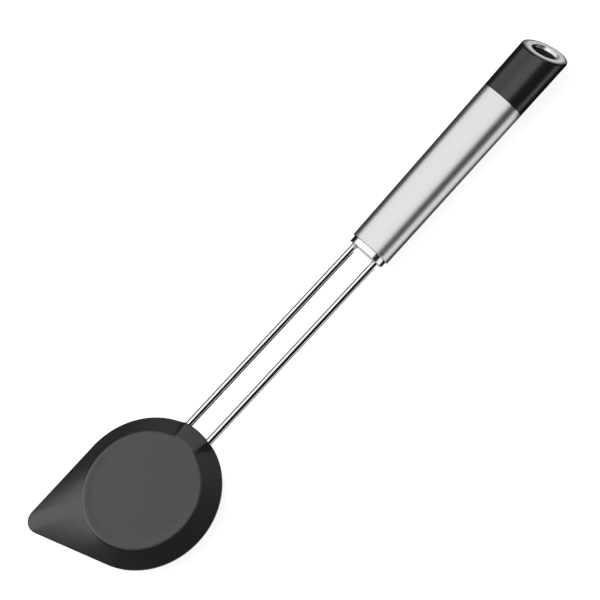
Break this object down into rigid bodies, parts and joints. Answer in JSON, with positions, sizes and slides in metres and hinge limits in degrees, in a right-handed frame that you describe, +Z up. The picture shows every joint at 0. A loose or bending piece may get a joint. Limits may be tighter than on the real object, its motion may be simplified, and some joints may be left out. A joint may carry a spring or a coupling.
{
  "type": "silicone cooking spoon",
  "caption": "Cooking spoon with a flat round silicone head that runs out to one corner, a neck of bent rod, and a round steel handle with a slanted, ringed hanging hole.",
  "frame": {"origin": "middle of the spoon's box, on its underside, which is the lowest point of the handle's front end", "axes": "+X along the two wires from the head to the handle's end, +Z up out of the side of the head with the raised pad, +Y towards the side with the corner"},
  "size_m": [0.3512, 0.08, 0.0285],
  "materials": {
    "silicone": "matte",
    "nylon": "matte",
    "polished_steel": "polished",
    "satin_steel": "satin",
    "black_plastic": "semi-gloss"
  },
  "bodies": {
    "root": {"silicone_head": "silicone", "head_core": "nylon", "wire_frame": "polished_steel", "front_cap": "polished_steel", "handle_sleeve": "satin_steel", "handle_insert": "nylon", "end_cap": "black_plastic", "hanging_ring": "satin_steel"}
  },
  "joints": []
}
